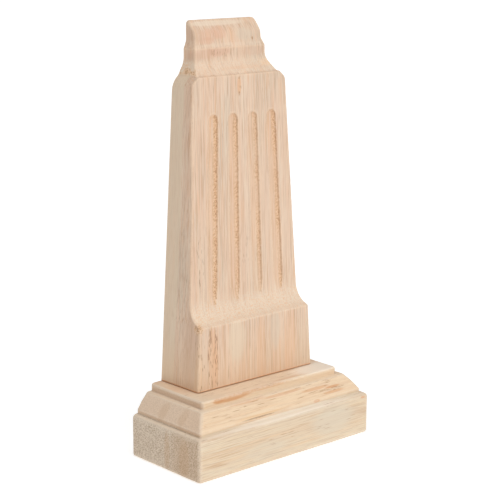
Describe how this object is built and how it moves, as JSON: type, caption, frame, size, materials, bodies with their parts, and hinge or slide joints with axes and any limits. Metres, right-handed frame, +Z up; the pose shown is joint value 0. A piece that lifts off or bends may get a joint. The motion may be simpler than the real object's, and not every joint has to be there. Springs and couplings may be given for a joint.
{
  "type": "carved wooden corbel",
  "caption": "Small fluted wooden corbel: a tapered body with a coved foot and a moulded neck, fixed to a stepped and bevelled moulded plinth.",
  "frame": {"origin": "centre of the footprint on the plinth's underside", "axes": "+Z up from the plinth to the neck, -Y out of the fluted front, +Y out of the flat back, X along the front"},
  "size_m": [0.11, 0.0504, 0.2053],
  "materials": {
    "plinth_wood": "raw sanded hardwood, grain along X",
    "body_wood": "raw sanded hardwood, grain along Z"
  },
  "bodies": {
    "root": {"moulded_plinth": "plinth_wood", "fluted_body": "body_wood"}
  },
  "joints": []
}
